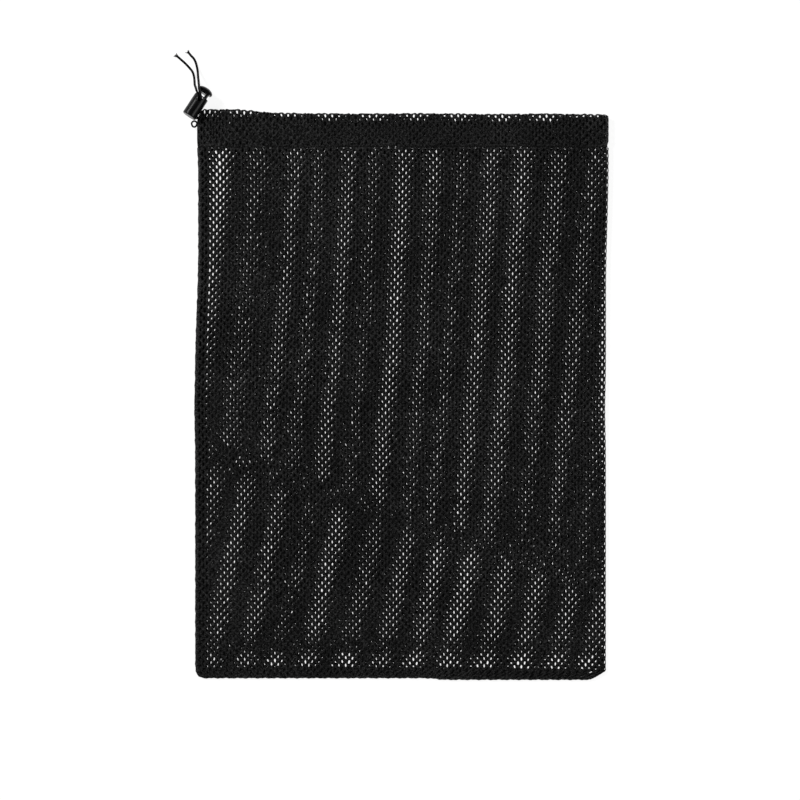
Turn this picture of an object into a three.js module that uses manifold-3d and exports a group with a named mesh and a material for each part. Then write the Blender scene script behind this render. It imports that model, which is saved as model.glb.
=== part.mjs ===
// Mesh laundry bag lying on its back, with a hemmed mouth, a drawcord and a barrel cord lock.
// Millimetres. +Z up, +Y towards the mouth, +X towards the folded side.
// The origin is under the middle of the bag, on the surface that it lies on.
import * as THREE from 'three';
import Module from 'manifold-3d';
import { mergeVertices, toCreasedNormals } from 'three/addons/utils/BufferGeometryUtils.js';

// Bag
const WIDTH = 355;
const LENGTH = 485;
const CLOTH = 0.6; // thickness of one layer of mesh
const GAP = 0.3; // between pieces that touch
const CASING = 28; // height of the hem that holds the drawcord
const TUNNEL = 2.6; // clear thickness inside the casing
const SEAM_WIDTH = 9.5; // seam allowance, turned to the inside
const THREAD = 0.5;
const CORNER_RADIUS = 8; // bottom left
const CORNER_CUT = [12.5, 7]; // bottom right, along X and Y
const CORNER_ROWS = [0, 1, 2.5, 4.5, 7, 10]; // section heights above the bottom edge
const FOLD_DEPTH = 2; // how far the folded side bulges past the panels
const MOUTH_RISE = 5; // how far the open stretch of the mouth lifts
const LOFT_STATIONS = 12;
const SLIVER = 0.05; // keeps round threads clear of flat walls

// Places along X where the mouth starts to lift, is fully open, starts to fall and is closed again
const MOUTH_X = [-90, -30, 100, 165];
const FOLD_END_X = 168.3; // the casing tubes end here and the folded end starts

const LEFT = -WIDTH / 2;
const RIGHT = WIDTH / 2;
const BOTTOM = -LENGTH / 2;
const TOP = LENGTH / 2;
const CASING_THICKNESS = TUNNEL + 2 * CLOTH;
const CASING_Y = TOP - CASING;
const PANEL_TOP = CASING_Y - 2 * GAP - THREAD;
const SEAM_TOP_Y = BOTTOM + SEAM_WIDTH;
const SEAM_HEIGHT = 2 * CLOTH; // two layers of allowance
const FRONT_BASE = CLOTH + 2 * GAP + SEAM_HEIGHT; // underside of the front panel along the bottom
const FRONT_CASING_Z = CASING_THICKNESS + GAP; // underside of the front casing where the mouth is closed

// Drawcord
const CORD = 1.8;
const CORD_SIDES = 8;
const CORD_Y = 239.3; // runs high in the casing
const TURN_Y = 233; // the front run drifts down to here before the folded end
const DRIFT_END = 8; // the drift ends this far from the folded end
const FEED_X = MOUTH_X[0]; // the stretch that can be drawn out ends here
const BACK_CORD_Z = CASING_THICKNESS / 2;
const FRONT_CORD_Z = FRONT_CASING_Z + CASING_THICKNESS / 2;

// Cord lock: local x points to its right, local y along the axis to the head, local z up
const LOCK_BASE = new THREE.Vector3(-182.2, 239.9, 11.9);
const LOCK_PLAN = new THREE.Vector2(0.536, 0.845).normalize();
const LOCK_DIP = 0.1; // sine of the angle at which the head end dips
const LOCK_CLEARANCE = 0.01; // in plan, between the widest part of the barrel and the hem
const BARREL_RADIUS = 6.35;
const BARREL_LENGTH = 20;
const BARREL_FLOOR = 1.6;
const BORE_RADIUS = 4.9;
const STEM_RADIUS = 4.6;
const STEM_START = 10.5;
const HEAD_START = 24.2;
const FLANGE_RADIUS = 7;
const FLANGE_EDGE = 1.2;
const HEAD_END = 29;
const PRESS = 4; // travel of the plunger
const DOME_SHARE = 0.86; // how much of a quarter turn the head's round top has before its flat centre
const WINDOW = { width: 4.6, from: 14.4, to: 19.1 }; // cord hole through the barrel
const WIRE = 0.7;
const SPRING_RADIUS = 3.9;
const SPRING_TURNS = 4.5;
const ROUND_SEGMENTS = 48;
const CREASE = 0.6; // edges sharper than this, in radians, stay crisp
const EDGE = 0.7; // rounding of the moulded edges

const wasm = await Module();
wasm.setup();

const bag = new THREE.Group();

const MESH_BLACK = { color: 0x17171a, roughness: 0.85, metalness: 0 };
const THREAD_BLACK = { color: 0x101012, roughness: 0.7, metalness: 0 };
const CORD_BLACK = { color: 0x131316, roughness: 0.75, metalness: 0 };
const PLASTIC_BLACK = { color: 0x0c0c0e, roughness: 0.3, metalness: 0 };
const STEEL = { color: 0xb8babd, roughness: 0.3, metalness: 1 };

function add(name, geometry, look, parent = bag) {
  const mesh = new THREE.Mesh(geometry, new THREE.MeshStandardMaterial(look));
  mesh.name = name;
  parent.add(mesh);
}

// ---------- small geometry tools ----------

function meshOf(points, triangles) {
  const geometry = new THREE.BufferGeometry();
  geometry.setAttribute('position', new THREE.Float32BufferAttribute(points.flat(), 3));
  geometry.setIndex(triangles.flat());
  geometry.computeVertexNormals();
  return geometry;
}

// Two triangles of the quad a b c d, which is anticlockwise from outside
function quad(a, b, c, d) {
  return [[a, b, c], [a, c, d]];
}

// A solid skinned over equal closed sections; each section is a list of [x, y, z], and the ends are capped
function loft(sections) {
  const n = sections[0].length;
  const points = sections.flat();
  const triangles = [];
  for (let i = 0; i + 1 < sections.length; i++) {
    for (let k = 0; k < n; k++) {
      const next = (k + 1) % n;
      triangles.push(...quad(i * n + k, i * n + next, (i + 1) * n + next, (i + 1) * n + k));
    }
  }
  const last = (sections.length - 1) * n;
  const cap = THREE.ShapeUtils.triangulateShape(flatten(sections[0]), []);
  for (const [a, b, c] of cap) {
    triangles.push([c, b, a]);
    triangles.push([last + a, last + b, last + c]);
  }
  return outwards(meshOf(points, triangles));
}

// A section's points in its own plane, seen along its sweep: sections here run along X or along Y
function flatten(section) {
  const xs = section.map((p) => p[0]);
  const alongX = Math.max(...xs) - Math.min(...xs) < 1e-6;
  return section.map((p) => new THREE.Vector2(alongX ? p[1] : p[0], p[2]));
}

// A tube with an outer and an inner wall; outer and inner are stations of equal rings
function hollowLoft(outer, inner) {
  const n = outer[0].length;
  const points = [...outer.flat(), ...inner.flat()];
  const inside = outer.length * n;
  const triangles = [];
  for (let i = 0; i + 1 < outer.length; i++) {
    for (let k = 0; k < n; k++) {
      const next = (k + 1) % n;
      const [a, b] = [i * n + k, i * n + next];
      const [c, d] = [(i + 1) * n + next, (i + 1) * n + k];
      triangles.push(...quad(a, b, c, d));
      triangles.push(...quad(inside + a, inside + d, inside + c, inside + b));
    }
  }
  const last = (outer.length - 1) * n;
  for (let k = 0; k < n; k++) {
    const next = (k + 1) % n;
    triangles.push(...quad(next, k, inside + k, inside + next));
    triangles.push(...quad(last + k, last + next, inside + last + next, inside + last + k));
  }
  return outwards(meshOf(points, triangles));
}

// Turns the faces round if the solid's volume comes out negative
function outwards(geometry) {
  const p = geometry.attributes.position;
  const index = geometry.index.array;
  const corner = [0, 1, 2].map(() => new THREE.Vector3());
  let volume = 0;
  for (let i = 0; i < index.length; i += 3) {
    corner.forEach((v, k) => v.fromBufferAttribute(p, index[i + k]));
    volume += corner[0].dot(corner[1].clone().cross(corner[2]));
  }
  if (volume > 0) {
    return geometry;
  }
  const turned = Array.from(index);
  for (let i = 0; i < turned.length; i += 3) {
    [turned[i], turned[i + 1]] = [turned[i + 1], turned[i]];
  }
  geometry.setIndex(turned);
  geometry.computeVertexNormals();
  return geometry;
}

function tube(curve, diameter, steps) {
  const section = new THREE.Shape();
  section.absarc(0, 0, diameter / 2, 0, 2 * Math.PI, false);
  return new THREE.ExtrudeGeometry(section, {
    steps,
    curveSegments: CORD_SIDES / 2,
    extrudePath: curve,
    bevelEnabled: false,
  });
}

function line(from, to) {
  return new THREE.LineCurve3(new THREE.Vector3(...from), new THREE.Vector3(...to));
}

function smooth(points) {
  return new THREE.CatmullRomCurve3(points, false, 'centripetal');
}

function solidOf(geometry) {
  const bare = geometry.clone();
  bare.deleteAttribute('normal');
  bare.deleteAttribute('uv');
  const merged = mergeVertices(bare, 1e-4);
  return new wasm.Manifold(new wasm.Mesh({
    numProp: 3,
    vertProperties: new Float32Array(merged.attributes.position.array),
    triVerts: new Uint32Array(merged.index.array),
  }));
}

function cut(geometry, tool) {
  const mesh = solidOf(geometry).subtract(solidOf(tool)).getMesh();
  const result = new THREE.BufferGeometry();
  result.setAttribute('position', new THREE.Float32BufferAttribute(mesh.vertProperties, 3));
  result.setIndex(Array.from(mesh.triVerts));
  result.computeVertexNormals();
  return result;
}

function smoothstep(from, to, value) {
  const t = Math.min(1, Math.max(0, (value - from) / (to - from)));
  return t * t * (3 - 2 * t);
}

function spread(from, to, count) {
  return Array.from({ length: count + 1 }, (_, i) => from + ((to - from) * i) / count);
}

// ---------- the bag's shape ----------

// How far the mouth is open at x, from 0 to 1
function openAt(x) {
  return smoothstep(MOUTH_X[0], MOUTH_X[1], x) * (1 - smoothstep(MOUTH_X[2], MOUTH_X[3], x));
}

// Underside of the front casing
function frontCasingZ(x) {
  return FRONT_CASING_Z + MOUTH_RISE * openAt(x);
}

// Underside of the front panel along its two sides, which rise towards the mouth
function sideHeight(y) {
  const rise = FRONT_CASING_Z + TUNNEL / 2 - FRONT_BASE;
  return FRONT_BASE + rise * Math.max(0, (y - SEAM_TOP_Y) / (PANEL_TOP - SEAM_TOP_Y));
}

function frontPanelZ(x, y) {
  return sideHeight(y) + MOUTH_RISE * openAt(x) * smoothstep(SEAM_TOP_Y, 0, y);
}

// Left and right ends of the panels at y, with the rounded and the cut corner
function panelSpan(y) {
  const above = y - BOTTOM;
  const inset = Math.max(0, CORNER_RADIUS - above);
  const left = LEFT + CORNER_RADIUS - Math.sqrt(CORNER_RADIUS ** 2 - inset ** 2);
  const right = RIGHT - FOLD_DEPTH - CORNER_CUT[0] * Math.max(0, 1 - above / CORNER_CUT[1]);
  return [left, right];
}

// Where the casing starts on the left: its corner is cut back to clear the cord lock beside it
function casingLeft(y) {
  const baseRight = LOCK_PLAN.y * LOCK_BASE.x - LOCK_PLAN.x * LOCK_BASE.y;
  const clear = baseRight + BARREL_RADIUS + LOCK_CLEARANCE + LOCK_PLAN.x * y;
  return Math.max(LEFT, clear / LOCK_PLAN.y);
}

// ---------- cloth ----------

function panelRows() {
  const corner = CORNER_ROWS.map((up) => BOTTOM + up);
  return [...corner, ...spread(SEAM_TOP_Y + SEAM_WIDTH, PANEL_TOP, LOFT_STATIONS)];
}

// One layer of cloth over the bag's outline, with its underside at height(x, y)
function panel(height, rows, columns) {
  const sections = rows.map((y) => {
    const [left, right] = panelSpan(y);
    const xs = spread(left, right, columns);
    const under = xs.map((x) => [x, y, height(x, y)]);
    const over = xs.map((x) => [x, y, height(x, y) + CLOTH]).reverse();
    return [...under, ...over];
  });
  return loft(sections);
}

function backPanel() {
  const rows = [...CORNER_ROWS.map((up) => BOTTOM + up), PANEL_TOP];
  return panel(() => 0, rows, 2);
}

function frontPanel() {
  return panel(frontPanelZ, panelRows(), LOFT_STATIONS);
}

// A flattened ring in the YZ plane: two flat faces joined by round ends
function casingRing(inset, z, xOf) {
  const radius = CASING_THICKNESS / 2 - inset;
  const middle = z + CASING_THICKNESS / 2;
  const ends = [
    [CASING_Y + CASING_THICKNESS / 2, Math.PI / 2],
    [TOP - CASING_THICKNESS / 2, -Math.PI / 2],
  ];
  return ends.flatMap(([centre, start]) => spread(start, start + Math.PI, 6).map((angle) => {
    const y = centre + radius * Math.cos(angle);
    return [xOf(y), y, middle + radius * Math.sin(angle)];
  }));
}

function casing(heightAt, stations) {
  const inner = [];
  const outer = [];
  for (const x of stations) {
    const xOf = x === LEFT ? casingLeft : () => x;
    outer.push(casingRing(0, heightAt(x), xOf));
    inner.push(casingRing(CLOTH, heightAt(x), xOf));
  }
  return hollowLoft(outer, inner);
}

function frontCasing() {
  const rise = spread(MOUTH_X[0], MOUTH_X[1], 6);
  const fall = spread(MOUTH_X[2], MOUTH_X[3], 6);
  return casing(frontCasingZ, [LEFT, ...rise, ...fall, FOLD_END_X]);
}

// The mesh folded round the right end of both casings
function casingFold() {
  const half = (FRONT_CASING_Z + CASING_THICKNESS) / 2;
  const start = FOLD_END_X + GAP;
  const bend = (inset) => spread(-Math.PI / 2, Math.PI / 2, 10).map((angle) => [
    RIGHT - half + (half - inset) * Math.cos(angle),
    half + (half - inset) * Math.sin(angle),
  ]);
  const outside = [[start, 0], ...bend(0), [start, 2 * half]];
  const inside = [[start, CLOTH], ...bend(CLOTH), [start, 2 * half - CLOTH]].reverse();
  const section = (y) => [...outside, ...inside].map(([x, z]) => [x, y, z]);
  return loft([section(CASING_Y), section(TOP)]);
}

// The folded right side: a thin wall that bulges out between the two panels
function sideFold() {
  const reach = RIGHT - FOLD_DEPTH;
  const section = (y) => {
    const low = CLOTH + GAP;
    const high = frontPanelZ(reach, y) - GAP;
    const wall = (inset) => spread(-Math.PI / 2, Math.PI / 2, 6).map((angle) => [
      reach - inset + FOLD_DEPTH * Math.cos(angle),
      y,
      (low + high) / 2 + ((high - low) / 2) * Math.sin(angle),
    ]);
    return [...wall(0), ...wall(CLOTH).reverse()];
  };
  return loft([section(SEAM_TOP_Y), section(PANEL_TOP)]);
}

// The left seam: an upright wall with the two layers of seam allowance turned inwards at half height
function sideSeamAllowance() {
  const wallOut = LEFT + THREAD + GAP + 2 * SLIVER;
  const wallIn = wallOut + CLOTH;
  const flangeIn = LEFT + SEAM_WIDTH;
  const section = (y) => {
    const low = CLOTH + GAP;
    const high = sideHeight(y) - GAP;
    const middle = (low + high) / 2;
    const half = Math.min(SEAM_HEIGHT, high - low) / 2 - SLIVER / 5;
    return [
      [wallOut, low], [wallIn, low], [wallIn, middle - half], [flangeIn, middle - half],
      [flangeIn, middle + half], [wallIn, middle + half], [wallIn, high], [wallOut, high],
    ].map(([x, z]) => [x, y, z]);
  };
  return loft([section(SEAM_TOP_Y + GAP), section(PANEL_TOP)]);
}

function bottomSeamAllowance() {
  const low = CLOTH + GAP;
  const near = BOTTOM + THREAD + GAP + 2 * SLIVER;
  const left = LEFT + CORNER_RADIUS;
  const right = RIGHT - FOLD_DEPTH - CORNER_CUT[0];
  const section = (x) => [
    [x, near, low], [x, SEAM_TOP_Y, low], [x, SEAM_TOP_Y, low + SEAM_HEIGHT], [x, near, low + SEAM_HEIGHT],
  ];
  return loft([section(left), section(right)]);
}

// ---------- thread ----------

function sideSeamStitching() {
  const x = LEFT + THREAD / 2 + SLIVER;
  const start = SEAM_TOP_Y + GAP;
  const middle = (y) => (CLOTH + sideHeight(y)) / 2;
  return tube(line([x, start, middle(start)], [x, PANEL_TOP, middle(PANEL_TOP)]), THREAD, 1);
}

function bottomSeamStitching() {
  const y = BOTTOM + THREAD / 2 + SLIVER;
  const z = CLOTH + GAP + SEAM_HEIGHT / 2;
  const left = LEFT + CORNER_RADIUS;
  const right = RIGHT - FOLD_DEPTH - CORNER_CUT[0];
  return tube(line([left, y, z], [right, y, z]), THREAD, 1);
}

function frontHemStitching() {
  const y = PANEL_TOP + GAP + THREAD / 2;
  const xs = spread(LEFT + 1, FOLD_END_X, 24);
  const points = xs.map((x) => new THREE.Vector3(x, y, frontCasingZ(x) + CASING_THICKNESS / 2));
  return tube(smooth(points), THREAD, 30);
}

function backHemStitching() {
  const y = PANEL_TOP + GAP + THREAD / 2;
  return tube(line([LEFT + 1, y, CLOTH], [FOLD_END_X, y, CLOTH]), THREAD, 1);
}

add('back_panel', backPanel(), MESH_BLACK);
add('front_panel', frontPanel(), MESH_BLACK);
add('side_fold', sideFold(), MESH_BLACK);
add('side_seam_allowance', sideSeamAllowance(), MESH_BLACK);
add('bottom_seam_allowance', bottomSeamAllowance(), MESH_BLACK);
add('back_casing', casing(() => 0, [LEFT, FOLD_END_X]), MESH_BLACK);
add('front_casing', frontCasing(), MESH_BLACK);
add('casing_fold', casingFold(), MESH_BLACK);
add('side_seam_stitching', sideSeamStitching(), THREAD_BLACK);
add('bottom_seam_stitching', bottomSeamStitching(), THREAD_BLACK);
add('front_hem_stitching', frontHemStitching(), THREAD_BLACK);
add('back_hem_stitching', backHemStitching(), THREAD_BLACK);

// ---------- drawcord held in the casing ----------

function frontRun() {
  const xs = spread(FEED_X, FOLD_END_X - GAP, 24);
  const drift = (x) => CORD_Y + (TURN_Y - CORD_Y) * smoothstep(MOUTH_X[2], FOLD_END_X - DRIFT_END, x);
  const points = xs.map((x) => new THREE.Vector3(x, drift(x), frontCasingZ(x) + CASING_THICKNESS / 2));
  return tube(smooth(points), CORD, 50);
}

function cordTurn() {
  const centre = new THREE.Vector3(FOLD_END_X, (CORD_Y + TURN_Y) / 2, (BACK_CORD_Z + FRONT_CORD_Z) / 2);
  const arm = new THREE.Vector3(0, (CORD_Y - TURN_Y) / 2, (BACK_CORD_Z - FRONT_CORD_Z) / 2);
  const out = new THREE.Vector3(arm.length(), 0, 0);
  const points = spread(0, Math.PI, 8).map((angle) => centre.clone()
    .addScaledVector(arm, -Math.cos(angle))
    .addScaledVector(out, Math.sin(angle)));
  return tube(smooth(points), CORD, 12);
}

function backRun() {
  return tube(line([FEED_X, CORD_Y, BACK_CORD_Z], [FOLD_END_X - GAP, CORD_Y, BACK_CORD_Z]), CORD, 1);
}

add('drawcord_front_run', frontRun(), CORD_BLACK);
add('drawcord_turn', cordTurn(), CORD_BLACK);
add('drawcord_back_run', backRun(), CORD_BLACK);

// ---------- cord lock ----------

const level = Math.sqrt(1 - LOCK_DIP ** 2);
const lockRight = new THREE.Vector3(LOCK_PLAN.y, -LOCK_PLAN.x, 0);
const lockAxis = new THREE.Vector3(LOCK_PLAN.x * level, LOCK_PLAN.y * level, -LOCK_DIP);
const lockUp = new THREE.Vector3(LOCK_PLAN.x * LOCK_DIP, LOCK_PLAN.y * LOCK_DIP, level);
const lockPlace = new THREE.Matrix4().makeBasis(lockRight, lockAxis, lockUp).setPosition(LOCK_BASE);

const lock = new THREE.Group();
lock.applyMatrix4(lockPlace);
bag.add(lock);

function turned(profile) {
  return new THREE.LatheGeometry(profile.map(([r, s]) => new THREE.Vector2(r, s)), ROUND_SEGMENTS);
}

// A square hole right through, across the lock's axis, for the two cords side by side
function cordHole(from, to) {
  const box = new THREE.BoxGeometry(WINDOW.width, to - from, 4 * BARREL_RADIUS);
  box.translate(0, (from + to) / 2, 0);
  return box;
}

function barrel() {
  const body = turned([
    [0, 0], [BARREL_RADIUS - EDGE, 0], [BARREL_RADIUS, EDGE],
    [BARREL_RADIUS, BARREL_LENGTH - EDGE / 2], [BARREL_RADIUS - EDGE / 2, BARREL_LENGTH],
    [BORE_RADIUS, BARREL_LENGTH], [BORE_RADIUS, BARREL_FLOOR], [0, BARREL_FLOOR],
  ]);
  return cut(body, cordHole(WINDOW.from, WINDOW.to));
}

function plunger() {
  const edge = HEAD_START + FLANGE_EDGE;
  const dome = spread(0, Math.PI * DOME_SHARE / 2, 7).map((angle) => [
    FLANGE_RADIUS * Math.cos(angle),
    edge + (HEAD_END - edge) * Math.sin(angle),
  ]);
  const [, top] = dome[dome.length - 1];
  const body = turned([
    [0, STEM_START], [STEM_RADIUS - EDGE, STEM_START], [STEM_RADIUS, STEM_START + EDGE],
    [STEM_RADIUS, HEAD_START], [FLANGE_RADIUS - EDGE / 2, HEAD_START], ...dome, [0, top],
  ]);
  return cut(body, cordHole(WINDOW.from - GAP / 2, WINDOW.to + PRESS));
}

function spring() {
  const low = BARREL_FLOOR + GAP + WIRE / 2;
  const high = STEM_START - GAP - WIRE / 2;
  const points = spread(0, 1, 54).map((t) => {
    const angle = 2 * Math.PI * SPRING_TURNS * t;
    return new THREE.Vector3(
      SPRING_RADIUS * Math.cos(angle),
      low + (high - low) * t,
      SPRING_RADIUS * Math.sin(angle),
    );
  });
  return tube(smooth(points), WIRE, 72);
}

add('lock_barrel', toCreasedNormals(barrel(), CREASE), PLASTIC_BLACK, lock);
add('lock_plunger', toCreasedNormals(plunger(), CREASE), PLASTIC_BLACK, lock);
add('lock_spring', spring(), STEEL, lock);

// ---------- drawcord: feed stretches and the two free ends ----------

// [along the lock's axis, to its left, up from its axis] in the lock's own frame
function atLock(along, left, up) {
  return new THREE.Vector3(-left, along, up).applyMatrix4(lockPlace);
}

function at(x, y, z) {
  return new THREE.Vector3(x, y, z);
}

// From the back tunnel, under the barrel, up through it and down to the tip on the left
const LEFT_END = [
  at(-174.8, 239.3, 1.9), at(-175.6, 239.3, 1.9), at(-177.6, 239.9, 1.8), at(-179.2, 241.5, 1.65),
  at(-179.8, 243.7, 1.5), at(-179.1, 246.0, 1.35),
  atLock(12.15, 1.1, -9.5), atLock(13.95, 1.1, -9.0), atLock(15.27, 1.1, -7.7), atLock(15.75, 1.1, -6.2),
  atLock(16.8, 1.1, 0), atLock(17.85, 1.1, 6.3), atLock(18.3, 1.55, 8.3), atLock(19.1, 2.9, 9.7),
  atLock(20.3, 4.6, 10.0), atLock(21.8, 6.4, 9.0), atLock(23.2, 7.9, 7.0),
  at(-177.0, 266.2, 13.6), at(-177.5, 269.0, 10.4), at(-178.0, 272.0, 7.0), at(-178.7, 275.4, 4.0),
  at(-180.1, 279.3, 1.9), at(-182.4, 282.4, 1.1), at(-186.3, 286.6, 0.95), at(-190.2, 290.1, 0.95),
  at(-193.7, 293.2, 0.95),
];

// From the front tunnel, beside the first, to the tip on the right
const RIGHT_END = [
  at(-174.8, 239.3, 6.0), at(-176.6, 239.8, 5.6), at(-177.9, 241.1, 4.6), at(-178.4, 242.9, 4.0),
  at(-177.85, 244.8, 3.3), at(-176.8, 246.5, 2.2),
  atLock(12.15, -1.1, -9.5), atLock(13.95, -1.1, -9.0), atLock(15.27, -1.1, -7.7), atLock(15.75, -1.1, -6.2),
  atLock(16.8, -1.1, 0), atLock(17.85, -1.1, 6.3), atLock(18.4, -0.75, 8.3), atLock(19.4, 0.3, 9.9),
  atLock(20.9, 1.9, 10.6), atLock(22.7, 3.7, 10.2), atLock(24.5, 5.2, 9.0), atLock(26.3, 6.4, 7.2),
  at(-173.6, 267.6, 14.4), at(-174.0, 270.3, 11.8), at(-174.6, 273.6, 8.6), at(-175.1, 277.2, 5.4),
  at(-175.7, 280.8, 2.9), at(-176.5, 284.4, 1.4), at(-177.6, 288.0, 0.95), at(-179.2, 291.0, 0.95),
  at(-181.6, 293.6, 0.95), at(-184.0, 296.5, 0.95),
];

// The straight stretch inside a tunnel that follows the free end out when the cord is drawn
function feed(z) {
  const outlet = casingLeft(CORD_Y) + 3 * GAP;
  return tube(line([FEED_X - GAP, CORD_Y, z], [outlet, CORD_Y, z]), CORD, 1);
}

add('drawcord_left_end', tube(smooth(LEFT_END), CORD, 72), CORD_BLACK);
add('drawcord_right_end', tube(smooth(RIGHT_END), CORD, 72), CORD_BLACK);
add('drawcord_back_feed', feed(BACK_CORD_Z), CORD_BLACK);
add('drawcord_front_feed', feed(FRONT_CORD_Z), CORD_BLACK);

export default bag;
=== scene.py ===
"""The looks of a mesh laundry bag that lies on its back, with a drawcord and a barrel cord lock.

Metres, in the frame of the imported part: +Z up, +Y towards the mouth, +X towards the folded side.
"""
import math

import bpy
import numpy as np
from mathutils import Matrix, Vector


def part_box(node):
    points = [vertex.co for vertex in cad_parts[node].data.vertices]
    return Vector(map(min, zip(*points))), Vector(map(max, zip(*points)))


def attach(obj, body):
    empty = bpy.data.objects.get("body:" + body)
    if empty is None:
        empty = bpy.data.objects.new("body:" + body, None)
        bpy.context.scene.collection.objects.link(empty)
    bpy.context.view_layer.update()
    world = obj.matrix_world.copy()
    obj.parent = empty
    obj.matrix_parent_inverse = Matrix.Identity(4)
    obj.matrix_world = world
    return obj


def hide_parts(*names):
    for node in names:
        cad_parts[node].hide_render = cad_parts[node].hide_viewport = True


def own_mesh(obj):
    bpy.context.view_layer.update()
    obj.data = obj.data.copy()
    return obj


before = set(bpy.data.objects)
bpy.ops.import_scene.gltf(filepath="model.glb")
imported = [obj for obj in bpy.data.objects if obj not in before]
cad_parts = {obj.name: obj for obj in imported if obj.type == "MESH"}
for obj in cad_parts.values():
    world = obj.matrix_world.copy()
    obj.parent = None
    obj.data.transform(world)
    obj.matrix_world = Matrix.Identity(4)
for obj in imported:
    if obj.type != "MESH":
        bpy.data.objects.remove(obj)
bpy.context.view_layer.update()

MM = 0.001

# The bag, from the frame
back_low, back_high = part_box("back_panel")
front_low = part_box("front_panel")[0]
casing_low, casing_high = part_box("back_casing")
front_casing_low, front_casing_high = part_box("front_casing")
side_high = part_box("side_fold")[1]
allowance_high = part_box("side_seam_allowance")[1]
bottom_low, bottom_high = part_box("bottom_seam_allowance")
hem_end_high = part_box("casing_fold")[1]
LEFT = casing_low.x
RIGHT = side_high.x
BOTTOM = back_low.y
TOP = casing_high.y
CASING_Y = casing_low.y
PANEL_TOP = back_high.y
PANEL_RIGHT = back_high.x
CLOTH = back_high.z
SEAM_X = allowance_high.x
SEAM_Y = bottom_high.y
PLY = CLOTH / 2  # from a layer's face to its middle
CASING_THICKNESS = casing_high.z
FRONT_BASE = front_low.z
FRONT_CASING_Z = front_casing_low.z
MOUTH_RISE = front_casing_high.z - casing_high.z - FRONT_CASING_Z
MOUTH_X = [-90 * MM, -30 * MM, 100 * MM, 165 * MM]  # the mouth opens, is open, and closes again
TUNNEL = CASING_THICKNESS - 2 * CLOTH
CORNER_RADIUS = 8 * MM
CORNER_CUT = (12.5 * MM, 7 * MM)  # width and height of the cut at the bottom right corner

# The mesh cloth: one hole in each cell of a staggered lattice
COLUMN = 2.92 * MM
PITCH = 6.3 * MM
HOLE = (0.89 * MM, 1.55 * MM)  # half width and half height
PUSH = COLUMN * 0.2  # how far a cell's side corners stand out
ROW_SLOPE = 0.085  # rows of the upper layer climb to the right

# The holes of the two layers line up in bands that lean to the right. A slanting crease parts two sets
# of them. Each set has its places at one height, and says how well the columns agree in each band.
BAND_SPACING = 27 * MM
UPPER_Y = 31 * MM
UPPER_LEAN = 0.065  # above UPPER_Y, at the middle of the bag
UPPER_FAN = 0.25  # how much more the upper bands lean for each metre from the middle
MIDDLE_LEAN = 0.12  # of the upper bands below UPPER_Y
UPPER_BANDS = np.array([-174, -139, -106, -85, -57, -34, -8, 20, 39, 65, 91, 121, 148, 176]) * MM
UPPER_MATCH = [0.85, 0.35, 0.45, 0.3, 0.5, 0.2, 0.5, 0.15, 0.15, 0.4, 0.4, 0.2, 0.3, 0.2]
LOWER_Y = -190 * MM
LOWER_BANDS = np.array([-160, -127, -102, -75, -40, -11, 18, 46, 80, 110, 141, 168]) * MM
LOWER_MATCH = [0.5, 0.55, 0.2, 0.6, 0.25, 0.4, 0.35, 0.45, 0.3, 0.25, 0.25, 0.2]
LOWER_LEAN = 0.22
LOWER_FIRST = 2  # the upper band that the first lower band goes on from
# In the strip by the bottom seam the lower bands agree otherwise, and above it lies a dull line
STRIP_MATCH = [0.4, 0.4, 0.7, 0.4, 0.7, 0.4, 0.6, 0.5, 0.6, 0.6, 0.6, 0.5]
STRIP_TOP = (8 * MM, 16 * MM)  # above the seam, the strip ends from here to here
DULL_LINE = 19 * MM  # above the seam
DULL_REACH = 6 * MM
DULL_SHARE = 0.7
BAND_WANDER = 0.02  # of a band
WANDER_WAVES = (3.1 * MM, 5.3 * MM)  # lengths of a wave for one radian
MISMATCH = COLUMN / 2  # sideways shift of the lower layer's columns where they agree least
COLUMN_DRIFT = 0.5 * MM  # further shift towards the folded side
DRIFT_REACH = 100 * MM
SHIFT_MARGIN = 6 * MM  # no shift at the sides, full shift this far in
CREASE_Y = -106 * MM  # the slanting crease crosses the middle of the bag here
CREASE_SLOPE = -0.35
CREASE_WIDTH = 10 * MM


def smoothstep(start, end, value):
    """0 up to the start, 1 from the end on, and smooth between them."""
    t = np.clip((value - start) / (end - start), 0, 1)
    return t * t * (3 - 2 * t)


def link(name, data):
    made = bpy.data.objects.new(name, data)
    bpy.context.scene.collection.objects.link(made)
    return made


def mesh_object(name, points, faces, material):
    """A smooth-shaded mesh of one material."""
    data = bpy.data.meshes.new(name)
    data.from_pydata(np.asarray(points).tolist(), [], faces)
    data.polygons.foreach_set("use_smooth", np.ones(len(data.polygons), bool))
    data.materials.append(material)
    data.update()
    return link(name, data)


# ---------- camera ----------

FIELD = 0.690  # side of the square that the camera sees
AIM = (-1.3 * MM, -3.4 * MM)


def make_camera():
    """Looks straight down on the bag."""
    data = bpy.data.cameras.new("camera")
    data.lens = 100
    data.sensor_width = 36
    data.clip_end = 20
    camera = link("camera", data)
    camera.location = (*AIM, FIELD * data.lens / data.sensor_width)
    bpy.context.scene.camera = camera


make_camera()

# ---------- materials ----------

WAVE_PERIOD = 0.31  # of a wave texture at scale 1


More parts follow.
